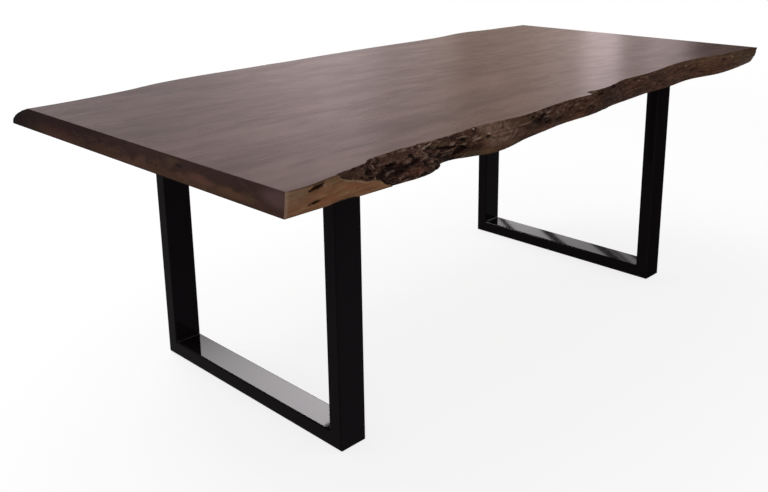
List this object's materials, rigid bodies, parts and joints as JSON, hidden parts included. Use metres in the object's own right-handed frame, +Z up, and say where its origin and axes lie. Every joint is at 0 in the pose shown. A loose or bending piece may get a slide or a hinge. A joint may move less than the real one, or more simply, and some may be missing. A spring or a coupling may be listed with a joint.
{
  "type": "dining table",
  "caption": "Long dining table: a thick dark wooden top with live edges along its sides, on rectangular black box-tube frames with floor rails.",
  "frame": {"origin": "on the floor, under the middle of the box round the whole table", "axes": "+X along the table's length to the right, +Y from the front live edge to the back one, +Z up"},
  "size_m": [2.1, 1.1213, 0.76],
  "materials": {
    "dark_wood": "dark brown stained hardwood with a satin lacquer, rough bark-like relief on the live edges",
    "black_steel": "black powder coat, satin to glossy",
    "zinc_steel": "zinc-plated fasteners",
    "glide_plastic": "black nylon"
  },
  "bodies": {
    "root": {"front_live_edge_board": "dark_wood", "front_centre_board": "dark_wood", "middle_board": "dark_wood", "back_centre_board": "dark_wood", "back_live_edge_board": "dark_wood", "left_front_upright": "black_steel", "left_back_upright": "black_steel", "left_floor_rail": "black_steel", "left_top_plate": "black_steel", "left_corner_welds": "black_steel", "left_plate_welds": "black_steel", "right_front_upright": "black_steel", "right_back_upright": "black_steel", "right_floor_rail": "black_steel", "right_top_plate": "black_steel", "right_corner_welds": "black_steel", "right_plate_welds": "black_steel", "left_bolts": "zinc_steel", "left_washers": "zinc_steel", "left_inserts": "zinc_steel", "right_bolts": "zinc_steel", "right_washers": "zinc_steel", "right_inserts": "zinc_steel", "left_front_glide": "glide_plastic", "left_back_glide": "glide_plastic", "right_front_glide": "glide_plastic", "right_back_glide": "glide_plastic"}
  },
  "joints": []
}
